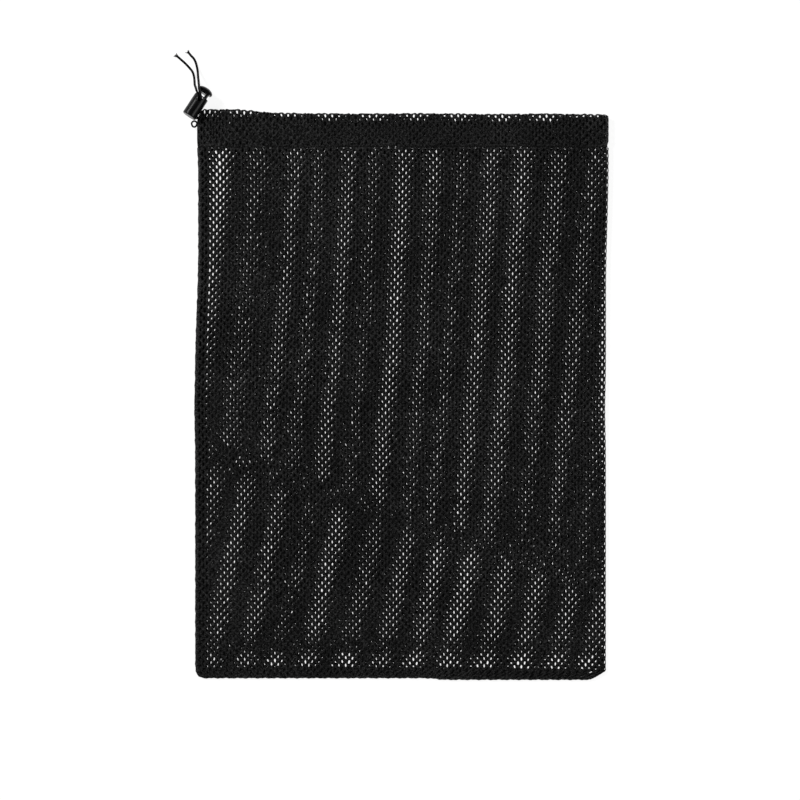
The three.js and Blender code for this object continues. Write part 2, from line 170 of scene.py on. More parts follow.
class Nodes:
    """A small helper to wire one procedural material."""

    def __init__(self, name):
        self.material = bpy.data.materials.new(name)
        self.material.use_nodes = True
        self.tree = self.material.node_tree
        self.shader = self.tree.nodes["Principled BSDF"]

    def add(self, kind, inputs=None, **settings):
        node = self.tree.nodes.new(kind)
        for key, value in settings.items():
            setattr(node, key, value)
        for key, value in (inputs or {}).items():
            if isinstance(value, bpy.types.NodeSocket):
                self.tree.links.new(value, node.inputs[key])
            else:
                node.inputs[key].default_value = value
        return node

    def set(self, **values):
        for key, value in values.items():
            socket = self.shader.inputs[key.replace("_", " ")]
            if isinstance(value, bpy.types.NodeSocket):
                self.tree.links.new(value, socket)
            else:
                socket.default_value = value

    def place(self):
        return self.add("ShaderNodeTexCoord").outputs["Object"]

    def noise(self, scale, detail):
        inputs = {"Scale": scale, "Detail": detail, "Vector": self.place()}
        return self.add("ShaderNodeTexNoise", inputs).outputs["Fac"]

    def wave(self, period, direction, distortion):
        inputs = {"Scale": WAVE_PERIOD / period, "Distortion": distortion, "Vector": self.place()}
        return self.add("ShaderNodeTexWave", inputs, bands_direction=direction).outputs["Fac"]

    def mix(self, factor, low, high):
        ramp = self.add("ShaderNodeValToRGB", {"Fac": factor})
        ramp.color_ramp.elements[0].color = (*low, 1)
        ramp.color_ramp.elements[1].color = (*high, 1)
        return ramp.outputs["Color"]

    def spread(self, value, low, high):
        inputs = {"Value": value, "To Min": low, "To Max": high}
        return self.add("ShaderNodeMapRange", inputs).outputs["Result"]

    def math(self, operation, a, b):
        return self.add("ShaderNodeMath", {0: a, 1: b}, operation=operation).outputs[0]

    def bump(self, height, strength, distance):
        inputs = {"Height": height, "Strength": strength, "Distance": distance}
        self.set(Normal=self.add("ShaderNodeBump", inputs).outputs["Normal"])


def yarn_look(name, dark, light, loop, shine):
    """Knitted black yarn: fine loops, a soft sheen, a faint drift in colour, and bright spots in the
    colour that are painted glints of light on the yarn.
    """
    nodes = Nodes(name)
    loops = nodes.math("MULTIPLY", nodes.wave(loop, "X", 1.5), nodes.wave(loop, "Y", 1.5))
    fibres = nodes.noise(2600, 2)
    # Random spots about a millimetre across: in the base colour their bright end is painted glints of
    # light on the yarn; they also set the roughness and the bump.
    tufts_and_glints = nodes.spread(nodes.noise(700, 2), -2.2, 3.2)
    drift = nodes.noise(18, 3)
    # Base colour: a faint random drift in tone times the spots, so the brightest spots are painted glints.
    nodes.set(Base_Color=nodes.mix(nodes.math("MULTIPLY", drift, tufts_and_glints), dark, light))
    nodes.set(Roughness=nodes.spread(tufts_and_glints, 0.75, 0.4))
    nodes.set(Specular_IOR_Level=shine, Sheen_Weight=0.02, Sheen_Roughness=0.4)
    relief = nodes.math("ADD", loops, nodes.math("MULTIPLY", fibres, 0.4))
    nodes.bump(nodes.math("ADD", relief, tufts_and_glints), 0.9, 0.3 * MM)
    return nodes.material


def plastic_look():
    """Moulded black plastic with a fine grain and a little handling wear."""
    nodes = Nodes("plastic")
    grain = nodes.noise(1500, 2)
    scuffs = nodes.noise(160, 5)
    nodes.set(Base_Color=nodes.mix(scuffs, (0.002, 0.002, 0.0022), (0.006, 0.006, 0.0065)))
    nodes.set(Roughness=nodes.spread(scuffs, 0.16, 0.36))
    nodes.set(Specular_IOR_Level=0.18)
    nodes.bump(grain, 0.1, 0.04 * MM)
    return nodes.material


def steel_look():
    """Bright drawn wire."""
    nodes = Nodes("steel")
    drawn = nodes.noise(900, 4)
    nodes.set(Base_Color=nodes.mix(drawn, (0.42, 0.42, 0.43), (0.62, 0.62, 0.63)))
    nodes.set(Roughness=nodes.spread(drawn, 0.22, 0.4))
    nodes.set(Metallic=1.0)
    nodes.bump(drawn, 0.15, 0.02 * MM)
    return nodes.material


# The mesh's light tone is far brighter than black yarn: it paints the glints of light on the yarn.
MESH_LOOK = yarn_look("mesh", (0.0008, 0.0008, 0.0009), (0.075, 0.075, 0.0755), 0.45 * MM, 0.18)
THREAD_LOOK = yarn_look("thread", (0.002, 0.002, 0.002), (0.012, 0.012, 0.0125), 0.2 * MM, 0.2)
CORD_LOOK = yarn_look("cord", (0.0015, 0.0015, 0.0016), (0.01, 0.01, 0.0105), 0.3 * MM, 0.15)
PLASTIC_LOOK = plastic_look()
STEEL_LOOK = steel_look()

# ---------- cords ----------

CORD = 1.8 * MM
CORD_GAP = 0.3 * MM  # between one length of the cord and the next
CORD_Y = 239.3 * MM
TURN_Y = 233 * MM  # the cord lies lower where it turns in the folded end
FOLD_END_X = front_casing_high.x
BACK_CORD_Z = CASING_THICKNESS / 2
FRONT_CORD_Z = FRONT_CASING_Z + CASING_THICKNESS / 2
LOCK_BASE = Vector((-182.2, 239.9, 11.9)) * MM  # middle of the barrel's closed end
LOCK_PLAN = Vector((0.536, 0.845)).normalized()
LOCK_DIP = 0.1  # sine of the angle at which the head end dips
LEVEL = math.sqrt(1 - LOCK_DIP**2)
LOCK_AXIS = Vector((LOCK_PLAN.x * LEVEL, LOCK_PLAN.y * LEVEL, -LOCK_DIP))
LOCK_LEFT = Vector((-LOCK_PLAN.y, LOCK_PLAN.x, 0))
LOCK_UP = Vector((LOCK_PLAN.x * LOCK_DIP, LOCK_PLAN.y * LOCK_DIP, LEVEL))


def at(x, y, z):
    """A place in the part's frame, from millimetres."""
    return Vector((x, y, z)) * MM


def at_lock(along, left, up):
    """A place along the lock's axis, to the left of it and above it, from millimetres."""
    return LOCK_BASE + (LOCK_AXIS * along + LOCK_LEFT * left + LOCK_UP * up) * MM


LEFT_END = [
    at(-174.8, 239.3, 1.9), at(-175.6, 239.3, 1.9), at(-177.6, 239.9, 1.8), at(-179.2, 241.5, 1.65),
    at(-179.8, 243.7, 1.5), at(-179.1, 246.0, 1.35),
    at_lock(12.15, 1.1, -9.5), at_lock(13.95, 1.1, -9.0), at_lock(15.27, 1.1, -7.7),
    at_lock(15.75, 1.1, -6.2), at_lock(16.8, 1.1, 0), at_lock(17.85, 1.1, 6.3),
    at_lock(18.3, 1.55, 8.3), at_lock(19.1, 2.9, 9.7), at_lock(20.3, 4.6, 10.0),
    at_lock(21.8, 6.4, 9.0), at_lock(23.2, 7.9, 7.0),
    at(-177.0, 266.2, 13.6), at(-177.5, 269.0, 10.4), at(-178.0, 272.0, 7.0), at(-178.7, 275.4, 4.0),
    at(-180.1, 279.3, 1.9), at(-182.4, 282.4, 1.1), at(-186.3, 286.6, 0.95),
    at(-190.2, 290.1, 0.95), at(-193.7, 293.2, 0.95),
]
RIGHT_END = [
    at(-174.8, 239.3, 6.0), at(-176.6, 239.8, 5.6), at(-177.9, 241.1, 4.6), at(-178.4, 242.9, 4.0),
    at(-177.85, 244.8, 3.3), at(-176.8, 246.5, 2.2),
    at_lock(12.15, -1.1, -9.5), at_lock(13.95, -1.1, -9.0), at_lock(15.27, -1.1, -7.7),
    at_lock(15.75, -1.1, -6.2), at_lock(16.8, -1.1, 0), at_lock(17.85, -1.1, 6.3),
    at_lock(18.4, -0.75, 8.3), at_lock(19.4, 0.3, 9.9), at_lock(20.9, 1.9, 10.6),
    at_lock(22.7, 3.7, 10.2), at_lock(24.5, 5.2, 9.0), at_lock(26.3, 6.4, 7.2),
    at(-173.6, 267.6, 14.4), at(-174.0, 270.3, 11.8), at(-174.6, 273.6, 8.6), at(-175.1, 277.2, 5.4),
    at(-175.7, 280.8, 2.9), at(-176.5, 284.4, 1.4), at(-177.6, 288.0, 0.95), at(-179.2, 291.0, 0.95),
    at(-181.6, 293.6, 0.95), at(-184.0, 296.5, 0.95),
]
SPAN_STEPS = 14


def smooth_line(points):
    """A centripetal Catmull-Rom curve through the points."""
    p = np.array([tuple(q) for q in points], float)
    p = np.vstack([2 * p[0] - p[1], p, 2 * p[-1] - p[-2]])
    made = []
    for a, b, c, d in zip(p, p[1:], p[2:], p[3:]):
        ta, tb, tc = (math.sqrt(np.linalg.norm(v)) for v in (b - a, c - b, d - c))
        out = ((b - a) / ta - (c - a) / (ta + tb) + (c - b) / tb) * tb
        into = ((c - b) / tb - (d - b) / (tb + tc) + (d - c) / tc) * tb
        t = np.linspace(0, 1, SPAN_STEPS, endpoint=False)[:, None]
        rest = (2 * b - 2 * c + out + into) * t**3 + (3 * c - 3 * b - 2 * out - into) * t**2
        made.append(b + out * t + rest)
    return np.vstack([*made, p[-2:-1]])


def evenly(line, step):
    """The line's points at even steps of about this length, and how far along it each one is."""
    along = np.concatenate([[0], np.cumsum(np.linalg.norm(np.diff(line, axis=0), axis=1))])
    count = max(2, round(along[-1] / step) + 1)
    wanted = np.linspace(0, along[-1], count)
    return np.stack([np.interp(wanted, along, line[:, k]) for k in range(3)], 1), wanted


def rings_along(line):
    """Two directions across the line at each of its points, turning as little as possible."""
    ahead = np.gradient(line, axis=0)
    ahead /= np.linalg.norm(ahead, axis=1)[:, None]
    start = np.cross(ahead[0], (0.3, 0.2, 0.93))
    across = [start / np.linalg.norm(start)]
    for direction in ahead[1:]:
        moved = across[-1] - direction * (across[-1] @ direction)
        across.append(moved / np.linalg.norm(moved))
    across = np.array(across)
    return across, np.cross(ahead, across)


def tube(line, radius, sides, relief=None):
    """Points and faces of a closed tube. Its radius is one number, or one for each point of the line."""
    across, up = rings_along(line)
    turn = np.linspace(0, 2 * math.pi, sides, endpoint=False)
    size = np.broadcast_to(np.asarray(radius, float), len(line))[:, None]
    if relief is not None:
        size = size * relief(turn[None, :])
    ring = across[:, None] * (np.cos(turn) * size)[:, :, None]
    ring = ring + up[:, None] * (np.sin(turn) * size)[:, :, None]
    points = (line[:, None] + ring).reshape(-1, 3)
    faces = []
    for i in range(len(line) - 1):
        low, high = i * sides, (i + 1) * sides
        for k in range(sides):
            after = (k + 1) % sides
            faces.append((low + k, low + after, high + after, high + k))
    faces.append(tuple(range(sides))[::-1])
    faces.append(tuple(range((len(line) - 1) * sides, len(line) * sides)))
    return points, faces


def joined(parts):
    """Several lots of points and faces as one."""
    points, faces, base = [], [], 0
    for part_points, part_faces in parts:
        points.append(part_points)
        faces += [tuple(base + v for v in face) for face in part_faces]
        base += len(part_points)
    return np.vstack(points), faces


BRAID_STRANDS = 4  # strands each way round the cord
BRAID_PITCH = 7 * MM  # along the cord, for one strand's full turn
BRAID_BASE = 1.08  # the braid's mean radius, as a share of the cord's
BRAID_RIDGE = 0.08  # how far a ridge stands above it
RIDGE_RADIUS = (BRAID_BASE + BRAID_RIDGE) * CORD / 2
FINE_BRAID = (0.28 * MM, 24)  # step along the cord and sides round it
COARSE_BRAID = (0.5 * MM, 16)  # of the lengths that lie in the casing


def braid(name, line, step, sides):
    """A round braided cord: two sets of strands that wind opposite ways."""
    line, along = evenly(line, step)
    wind = (2 * math.pi * along / BRAID_PITCH)[:, None]

    def relief(turn):
        one = np.cos(BRAID_STRANDS * (turn + wind))
        other = np.cos(BRAID_STRANDS * (turn - wind))
        return BRAID_BASE + BRAID_RIDGE * np.maximum(one, other)

    return mesh_object(name, *tube(line, CORD / 2, sides, relief), CORD_LOOK)


YARN_RADIUS = 0.4 * MM
YARN_ROOT = 1.2 * MM  # how far inside the cord's tip the yarns begin
YARN_SPREAD = 0.55 * MM  # how far from the cord's middle


def fray(name, line, count, reach, fan, seed):
    """Loose yarns at a cut end: each leaves the tip, spreads by about fan and droops to the table."""
    rng = np.random.default_rng(seed)
    tip = line[-1]
    ahead = tip - line[-6]
    ahead /= np.linalg.norm(ahead)
    across = np.cross((0, 0, 1), ahead)
    parts = []
    for i in range(count):
        side = (i + 0.5) / count * 2 - 1
        start = tip - ahead * YARN_ROOT + across * side * YARN_SPREAD
        start = start + np.array((0, 0, rng.uniform(-0.3, 0.5) * MM))
        out = ahead + across * (side * fan + rng.uniform(-0.12, 0.12))
        length = reach * rng.uniform(0.6, 1)
        curl = across * rng.uniform(-0.25, 0.25) * length
        t = np.linspace(0, 1, 9)[:, None]
        path = start + out * length * t + curl * t**2
        path[:, 2] = YARN_RADIUS + (path[:, 2] - YARN_RADIUS) * (1 - 0.9 * t[:, 0] ** 1.5)
        parts.append(tube(path, YARN_RADIUS * (1 - 0.4 * t[:, 0]), 6))
    return mesh_object(name, *joined(parts), CORD_LOOK)


def ride(piece, body, slot, *nodes):
    """Fixes a piece to its body and hides the nodes that it stands for. The slot, its finish, is not used.
    """
    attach(piece, body)
    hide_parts(*nodes)
    return piece


def free_end(side, points, yarns, reach, fan):
    """One free end of the cord, from the casing through the lock to its frayed tip."""
    line = smooth_line(points)
    line[:, 2] = np.maximum(line[:, 2], RIDGE_RADIUS)
    end = ride(braid(f"drawcord_{side}", line, *FINE_BRAID), "cord_lock", "cord", f"drawcord_{side}_end")
    loose = fray(f"drawcord_{side}_fray", line, yarns, reach, fan, len(points))
    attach(loose, "cord_lock")


free_end("left", LEFT_END, 9, 3.6 * MM, 0.35)
free_end("right", RIGHT_END, 8, 2.6 * MM, 0.4)

# ---------- the bag's shape ----------

# The upper layer's waves. Each length is that of one radian.
DOWN_WAVE, DOWN_BEND = 21 * MM, 80 * MM
CROSS_WAVE, CROSS_BEND = 47 * MM, 70 * MM
DOWN_HEIGHT = 0.55 * MM
CROSS_HEIGHT = 0.45 * MM
CREASE_HEIGHT = 1.2 * MM
CREASE_REACH = 9 * MM
LOFT = 0.6 * MM  # mean height of the waves, away from the edges
SIDE_FADE = 40 * MM  # the waves fade out along the sides and the bottom
HEM_FADE = 30 * MM  # and below the hem

# The lower layer's waves, in the same way
BACK_HEIGHT = 0.25 * MM
BACK_WAVES = (33 * MM, 41 * MM)
BACK_FADE = 20 * MM

# How the outline wanders
BOW = 0.7 * MM  # both long edges bow to the left here
BOW_Y = -12 * MM
BOW_REACH = 25 * MM
LEFT_IN = 2.7 * MM  # how far the left edge comes in
LEFT_IN_Y = (20 * MM, 130 * MM)  # between these heights
LEFT_BACK = 0.8 * MM  # and how far it goes back below the hem
LEFT_BACK_REACH = 20 * MM
RIGHT_IN = 1.2 * MM
RIGHT_OUT = 2.1 * MM
RIGHT_OUT_Y = (90 * MM, 200 * MM)
BOTTOM_SAG = 0.5 * MM
BOTTOM_STEP = 1.4 * MM  # how much more the bottom edge sags on the right
BOTTOM_STEP_X = (24 * MM, 46 * MM)
SAG_FADE = 100 * MM
BUMP = 0.2 * MM
BUMP_WAVES = (0.83 * MM, 1.9 * MM)
BUMP_REACH = 3 * MM


def open_at(x):
    """How far the mouth is open at x, from 0 to 1."""
    return smoothstep(MOUTH_X[0], MOUTH_X[1], x) * (1 - smoothstep(MOUTH_X[2], MOUTH_X[3], x))


def below_crease(x, y):
    """How far below the slanting crease a place lies."""
    return CREASE_Y + CREASE_SLOPE * x - y


def ripple(x, y):
    """Soft waves in the upper layer: long ones down the bag, weaker ones across, and one crease."""
    down = np.sin(x / DOWN_WAVE + 0.9 * np.sin(y / DOWN_BEND) + 1)
    cross = np.sin(y / CROSS_WAVE + 1.4 * np.sin(x / CROSS_BEND))
    crease = np.exp(-((below_crease(x, y) / CREASE_REACH) ** 2))
    inner = smoothstep(LEFT, LEFT + SIDE_FADE, x) * (1 - smoothstep(RIGHT - SIDE_FADE, RIGHT, x))
    low_end = smoothstep(BOTTOM, BOTTOM + SIDE_FADE, y)
    ends = low_end * (1 - smoothstep(PANEL_TOP - HEM_FADE, PANEL_TOP, y))
    return inner * ends * (DOWN_HEIGHT * down + CROSS_HEIGHT * cross + CREASE_HEIGHT * crease + LOFT)


def side_height(y):
    """Height of the upper layer's lower face at the sides: it climbs to the casing."""
    rise = FRONT_CASING_Z + TUNNEL / 2 - FRONT_BASE
    return FRONT_BASE + rise * np.clip((y - SEAM_Y) / (PANEL_TOP - SEAM_Y), 0, 1)


def front_middle(x, y):
    """Height of the middle of the upper layer."""
    lift = MOUTH_RISE * open_at(x) * smoothstep(SEAM_Y, 0, y)
    return side_height(y) + PLY + lift + ripple(x, y)


def back_middle(x, y):
    """Height of the middle of the lower layer, which lies on the table."""
    lift = BACK_HEIGHT * (1 + np.sin(x / BACK_WAVES[0]) * np.sin(y / BACK_WAVES[1] + 2))
    return PLY + lift * smoothstep(LEFT, LEFT + BACK_FADE, x) * smoothstep(BOTTOM, BOTTOM + BACK_FADE, y)


def seam_middle(x, y):
    """Height halfway between the two layers."""
    return (front_middle(x, y) + back_middle(x, y)) / 2


def sway(v):
    """How far the left and the right edge wander from straight at a height of the cloth."""
    bow = BOW * np.exp(-(((v - BOW_Y) / BOW_REACH) ** 2))
    left = LEFT_IN * smoothstep(*LEFT_IN_Y, v) - bow
    left = left - LEFT_BACK * smoothstep(PANEL_TOP - LEFT_BACK_REACH, PANEL_TOP, v)
    right = RIGHT_OUT * smoothstep(*RIGHT_OUT_Y, v) - RIGHT_IN - bow
    return left, right


def bumps(along):
    """The knitted edge isn't straight: each strand that turns round it stands out a little."""
    return BUMP * (np.sin(along / BUMP_WAVES[0]) + np.sin(along / BUMP_WAVES[1]))


def outline(u, v):
    """Plan of a point of the flat cloth, with the bag's corners and a faint wander of its edges."""
    above = v - BOTTOM
    inset = np.clip(CORNER_RADIUS - above, 0, CORNER_RADIUS)
    left_sway, right_sway = sway(v)
    left = LEFT + CORNER_RADIUS - np.sqrt(CORNER_RADIUS**2 - inset**2) + left_sway
    right = PANEL_RIGHT - CORNER_CUT[0] * np.clip(1 - above / CORNER_CUT[1], 0, 1) + right_sway
    share = (u - LEFT) / (PANEL_RIGHT - LEFT)
    sag = BOTTOM_SAG + BOTTOM_STEP * smoothstep(*BOTTOM_STEP_X, u) + bumps(u)
    near_side = 1 - smoothstep(0, BUMP_REACH, u - LEFT)
    x = left + share * (right - left) + bumps(v) * near_side
    return x, v - sag * (1 - smoothstep(0, SAG_FADE, above))


ROLL = 2.4 * MM  # width of the rounding where the layers meet at a seam


def rolled(distance):
    """From 0 at a seam to 1 where the layer is flat again."""
    t = np.clip(1 - distance / ROLL, 0, 1)
    return np.sqrt(1 - t * t)


def count_bands(across, places):
    """Counts bands from the left. Past the outer ones the count goes on at the usual spacing."""
    outside = np.minimum(across - places[0], 0) + np.maximum(across - places[-1], 0)
    return np.interp(across, places, np.arange(len(places))) + outside / BAND_SPACING


def both_counts(x, y):
    """The count of the upper set, that of the lower set, and how far the lower set has taken over."""
    above = y - UPPER_Y
    upper_lean = np.where(above > 0, UPPER_LEAN + UPPER_FAN * np.abs(x), MIDDLE_LEAN)
    upper = count_bands(x - upper_lean * above, UPPER_BANDS)
    lower = count_bands(x - LOWER_LEAN * (y - LOWER_Y), LOWER_BANDS)
    return upper, lower, smoothstep(-CREASE_WIDTH, CREASE_WIDTH, below_crease(x, y))


def band_number(x, y):
    """Whole numbers are where the rows of holes of the two layers line up."""
    upper, lower, share = both_counts(x, y)
    wander = np.sin(x / WANDER_WAVES[0] + 2 * np.sin(y / WANDER_WAVES[1]))
    return upper + (lower + LOWER_FIRST - upper) * share + BAND_WANDER * wander


def match_at(count, matches):
    """How well the columns agree at a count of bands, from 0 to 1."""
    return np.interp(count, np.arange(len(matches)), matches)


def column_shift(x, y):
    """How far sideways the lower layer's columns lie from the upper layer's."""
    upper, lower, share = both_counts(x, y)
    strip = 1 - smoothstep(SEAM_Y + STRIP_TOP[0], SEAM_Y + STRIP_TOP[1], y)
    lower_match = match_at(lower, LOWER_MATCH) * (1 - strip) + match_at(lower, STRIP_MATCH) * strip
    match = match_at(upper, UPPER_MATCH) * (1 - share) + lower_match * share
    match = match * (1 - np.exp(-((below_crease(x, y) / CREASE_WIDTH) ** 2)))
    match = match * (1 - DULL_SHARE * np.exp(-(((y - SEAM_Y - DULL_LINE) / DULL_REACH) ** 2)))
    inner = smoothstep(LEFT, LEFT + SHIFT_MARGIN, x)
    inner = inner * (1 - smoothstep(PANEL_RIGHT - SHIFT_MARGIN, PANEL_RIGHT, x))
    drift = COLUMN_DRIFT * smoothstep(0, DRIFT_REACH, x) * (1 - share)
    return (MISMATCH * (1 - match) + drift) * inner


def seam_share(u, v):
    """From 0 where the layers meet at the left or the bottom seam to 1 where they lie apart."""
    return rolled(u - LEFT) * rolled(v - BOTTOM)


def place_front(u, v):
    """Where a place of the flat upper layer lies."""
    x, y = outline(u, v)
    z, low = front_middle(x, y), back_middle(x, y)
    middle = (z + low) / 2
    return x, y, middle + (z - middle) * seam_share(u, v)


def place_back(u, v):
    """Where a place of the flat lower layer lies."""
    x, y = outline(u + column_shift(u, v), v)
    z, low = front_middle(x, y), back_middle(x, y)
    middle = (z + low) / 2
    return x, y, middle - (middle - low) * seam_share(u, v)


FOLD_REACH = RIGHT - PANEL_RIGHT - PLY
FOLD_COLUMNS = 3


def place_side_fold(u, v):
    """The three columns that go round the folded side, from the upper layer to the lower."""
    x, y = outline(np.full_like(u, PANEL_RIGHT), v)
    z, low = front_middle(x, y), back_middle(x, y)
    turn = (u - PANEL_RIGHT) / (FOLD_COLUMNS * COLUMN) * math.pi
    bottom_share = rolled(v - BOTTOM)
    half = (z - low) / 2 * bottom_share
    return x + FOLD_REACH * np.sin(turn), y, (z + low) / 2 + half * np.cos(turn)


# ---------- perforated cloth ----------

SETTLE_ROUNDS = 6
SPARE_ROWS = (4, 12)  # rows below the range, and more rows in all, so that none is missed
SMALLEST_CELL = 0.04 * COLUMN * PITCH  # smaller ones are left out at the cut edges
SHORTEST_EDGE = 0.001 * MM
HOLE_MARGIN = 0.35 * MM  # between a hole and a cut edge
HOLE_SPREAD = 0.08  # of the holes' sizes
HOLE_WANDER = 0.09 * MM
CORNER_STRETCH = 0.2  # how much wider the holes are pulled below the mouth's left end
CORNER_PLACE = (17 * MM, 13 * MM)  # from the left edge, and reach
CORNER_Y = (110 * MM, 190 * MM)
STRIP_STRETCH = 0.12  # and above the bottom seam
STRIP_PLACE = (5 * MM, 5 * MM)  # from the seam, and reach


def front_rows(u, k, v):
    """Height of half row k at u. Other layers' rows depend on v too, the height found so far."""
    return ROW_SLOPE * (u - LEFT) + k * PITCH / 2


def back_rows(u, k, v):
    """The lower layer's rows agree with the upper layer's at each whole band number."""
    return front_rows(u, k, v) - PITCH * band_number(u, v)


def rows_settled(rows, u, k):
    """Rows that depend on their own height, found by repeating."""
    v = rows(u, k, np.zeros_like(u))
    for _ in range(SETTLE_ROUNDS):
        v = rows(u, k, v)
    return v


def half_rows_over(rows, edge, v_range):
    """The half rows that it takes to cover the range at each column's edge."""
    base = rows_settled(rows, PANEL_RIGHT + edge * COLUMN, np.zeros(len(edge)))
    tall = v_range[1] - v_range[0]
    low = math.floor((v_range[0] - base.max()) / (PITCH / 2)) - SPARE_ROWS[0]
    high = low + math.ceil((tall + base.max() - base.min()) / (PITCH / 2)) + SPARE_ROWS[1]
    return np.arange(low, high)


def lattice(rows, u_range, v_range, owns):
    """Cells of a staggered lattice, clamped to a range of the flat cloth: corners, cells and centres."""
    first = math.floor((u_range[0] - PANEL_RIGHT) / COLUMN) - 1
    last = math.ceil((u_range[1] - PANEL_RIGHT) / COLUMN) + 1
    edge = np.arange(first, last + 1)
    half_rows = half_rows_over(rows, edge, v_range)
    b, k = np.meshgrid(edge, half_rows, indexing="ij")
    u = PANEL_RIGHT + b * COLUMN + np.where((b + k) % 2 == 0, -PUSH, PUSH)
    v = rows_settled(rows, u, k)
    corner = np.stack([np.clip(u, *u_range), np.clip(v, *v_range)], -1).reshape(-1, 2)
    count = len(half_rows)
    i, j = np.meshgrid(np.arange(len(edge) - 1), np.arange(1, count - 1), indexing="ij")
    cell = (edge[i] + half_rows[j]) % 2 == 0
    i, j = i[cell], j[cell]
    steps = [(1, 0), (1, 1), (0, 1), (0, 0), (0, -1), (1, -1)]
    ring = np.stack([(i + di) * count + j + dj for di, dj in steps], 1)
    centre_u = PANEL_RIGHT + (edge[i] + 0.5) * COLUMN
    centre_v = rows_settled(rows, centre_u, half_rows[j])
    x, y = corner[ring, 0], corner[ring, 1]
    area = (x * np.roll(y, -1, 1) - np.roll(x, -1, 1) * y).sum(1) / 2
    kept = (area > SMALLEST_CELL) & owns(centre_u, centre_v)
    return corner, ring[kept], np.stack([centre_u[kept], centre_v[kept]], 1)


def on_surface(place, flat):
    """Points of the mapped cloth and the direction square to it."""
    u, v = flat[:, 0], flat[:, 1]
    step = 0.2 * MM
    point = np.stack(place(u, v), 1)
    du = np.stack(place(u + step, v), 1) - np.stack(place(u - step, v), 1)
    dv = np.stack(place(u, v + step), 1) - np.stack(place(u, v - step), 1)
    square = np.cross(du, dv)
    length = np.linalg.norm(square, axis=1)[:, None]
    return point, square / np.maximum(length, 1e-12)


def stretched(u, v):
    """How much wider the holes are pulled: below the mouth's left end and above the bottom seam."""
    corner = np.exp(-(((u - LEFT - CORNER_PLACE[0]) / CORNER_PLACE[1]) ** 2)) * smoothstep(*CORNER_Y, v)
    strip = np.exp(-(((v - SEAM_Y - STRIP_PLACE[0]) / STRIP_PLACE[1]) ** 2))
    return 1 + CORNER_STRETCH * corner + STRIP_STRETCH * strip


def everywhere(u, v):
    """The owner of every cell, where a sheet isn't shared."""
    return np.ones(len(u), bool)


def has_room(centre, hole, u_range, v_range):
    """Which cells have room for their hole. At the top it may be cut short."""
    across, up = centre.T
    clear = hole[0] + HOLE_MARGIN
    inside = (across - clear > u_range[0]) & (across + clear < u_range[1])
    return inside & (up - hole[1] - HOLE_MARGIN > v_range[0]) & (up + HOLE_MARGIN < v_range[1])


def hole_rims(centre, hole, highest, rng):
    """Six points round each hole. No hole is quite like the next."""
    turn = np.arange(6) * math.pi / 3
    size = stretched(centre[:, 0], centre[:, 1]) * rng.normal(1, HOLE_SPREAD, len(centre))
    spoke = np.stack([hole[0] * np.cos(turn), hole[1] * np.sin(turn)], 1)
    wander = rng.normal(0, HOLE_WANDER, (len(centre), 1, 2))
    rim = centre[:, None] + spoke[None] * size[:, None, None] + wander
    rim[..., 1] = np.minimum(rim[..., 1], highest)
    return rim.reshape(-1, 2)


def perforated(rows, place, u_range, v_range, owns=everywhere, hole=HOLE):
    """Points and faces of a closed sheet of mesh: lens-shaped strands round one hole in each cell."""
    corner, ring, centre = lattice(rows, u_range, v_range, owns)
    used, ring = np.unique(ring, return_inverse=True)
    ring = ring.reshape(-1, 6)
    inside = has_room(centre, hole, u_range, v_range)
    rng = np.random.default_rng(len(centre))
    rim = hole_rims(centre[inside], hole, v_range[1] - HOLE_MARGIN, rng)
    ridge, square = on_surface(place, corner[used])
    rim_point, _ = on_surface(place, rim)
    top = ridge + square * CLOTH / 2
    bottom = ridge - square * CLOTH / 2
    n = len(ridge)
    faces = strand_faces(ring[inside], n)
    for cell in ring[~inside]:
        faces.append(cell.tolist())
        faces.append((cell[::-1] + n).tolist())
    faces += border_walls(ring, n, ridge)
    return np.vstack([top, bottom, rim_point]), faces


def strand_faces(ring, n):
    """Faces from the ridges to the rim of each hole, above and below. The points of the rims come last."""
    rim = 2 * n + np.arange(ring.size).reshape(-1, 6)
    after, rim_after = np.roll(ring, -1, 1), np.roll(rim, -1, 1)
    upper = np.stack([ring, after, rim_after, rim], -1).reshape(-1, 4)
    lower = np.stack([ring + n, rim, rim_after, after + n], -1).reshape(-1, 4)
    return [*upper.tolist(), *lower.tolist()]


def border_walls(ring, n, ridge):
    """The cut edge of the cloth, wherever a cell has no neighbour."""
    start, end = ring.ravel(), np.roll(ring, -1, 1).ravel()
    forward = start.astype(np.int64) * n + end
    lonely = ~np.isin(forward, end.astype(np.int64) * n + start)
    lonely &= np.linalg.norm(ridge[start] - ridge[end], axis=1) > SHORTEST_EDGE
    a, b = start[lonely], end[lonely]
    return np.stack([b, a, a + n, b + n], 1).tolist()


def cloth(name, parts):
    """A piece of the bag's mesh, fixed to the bag."""
    piece = mesh_object(name, *joined(parts), MESH_LOOK)
    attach(piece, "bag")
    return piece


BODY_U = (LEFT, PANEL_RIGHT)
BODY_V = (BOTTOM, PANEL_TOP + PLY)
STRIP_HEIGHT = 11 * MM  # of the strip above the bottom seam that is part of seam_edge_mesh


def off_seams(u, v):
    """Which cells belong to the two large sheets, and not to the seams."""
    return (u > SEAM_X) & (v > SEAM_Y + STRIP_HEIGHT)


def in_seams(u, v):
    return ~off_seams(u, v)


